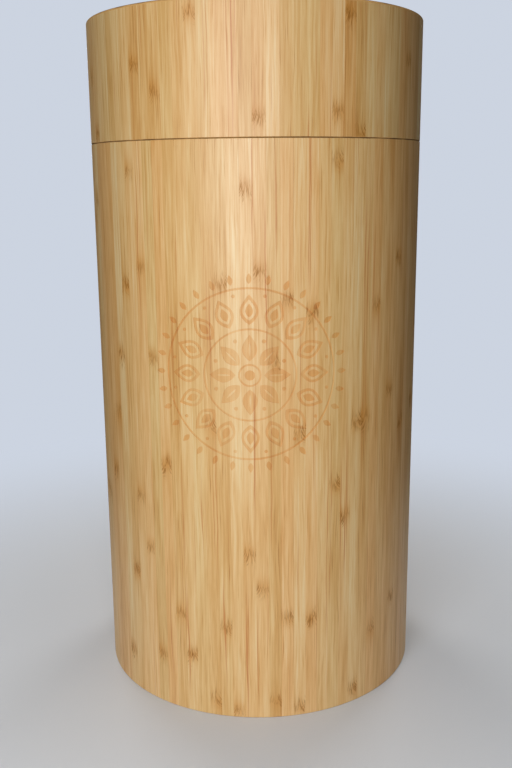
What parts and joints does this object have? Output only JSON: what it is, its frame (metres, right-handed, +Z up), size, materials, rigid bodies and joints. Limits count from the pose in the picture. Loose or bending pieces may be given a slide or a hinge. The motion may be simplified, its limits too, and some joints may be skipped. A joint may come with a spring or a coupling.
{
  "type": "lidded canister",
  "caption": "Tall round bamboo canister with a deep lid that lifts off a neck and sits flush with the wall; an etched roundel of petals on its front.",
  "frame": {"origin": "centre of the foot, on the surface that the canister stands on", "axes": "+Z up along the canister's axis, -Y towards the decorated front"},
  "size_m": [0.186, 0.186, 0.373],
  "materials": {
    "bamboo_wall": "satin clear finish on turned side-pressed bamboo strips",
    "bamboo_board": "satin clear finish on flat bamboo board",
    "bamboo_sleeve": "fine sanded, thin finish",
    "silicone": "matt translucent white silicone"
  },
  "bodies": {
    "canister": {"body_wall": "bamboo_wall", "base_disc": "bamboo_board", "neck_sleeve": "bamboo_sleeve"},
    "seal": {"seal_ring": "silicone"},
    "lid": {"lid_wall": "bamboo_wall", "lid_top": "bamboo_board"}
  },
  "joints": [
    {"name": "lid_lift", "type": "slide", "parent": "canister", "child": "seal", "axis": [0, 0, 1], "range_m": [0, 0.1]},
    {"name": "lid_turn", "type": "hinge", "parent": "seal", "child": "lid", "pos_m": [0, 0, 0.309], "axis": [0, 0, 1], "continuous": true}
  ]
}
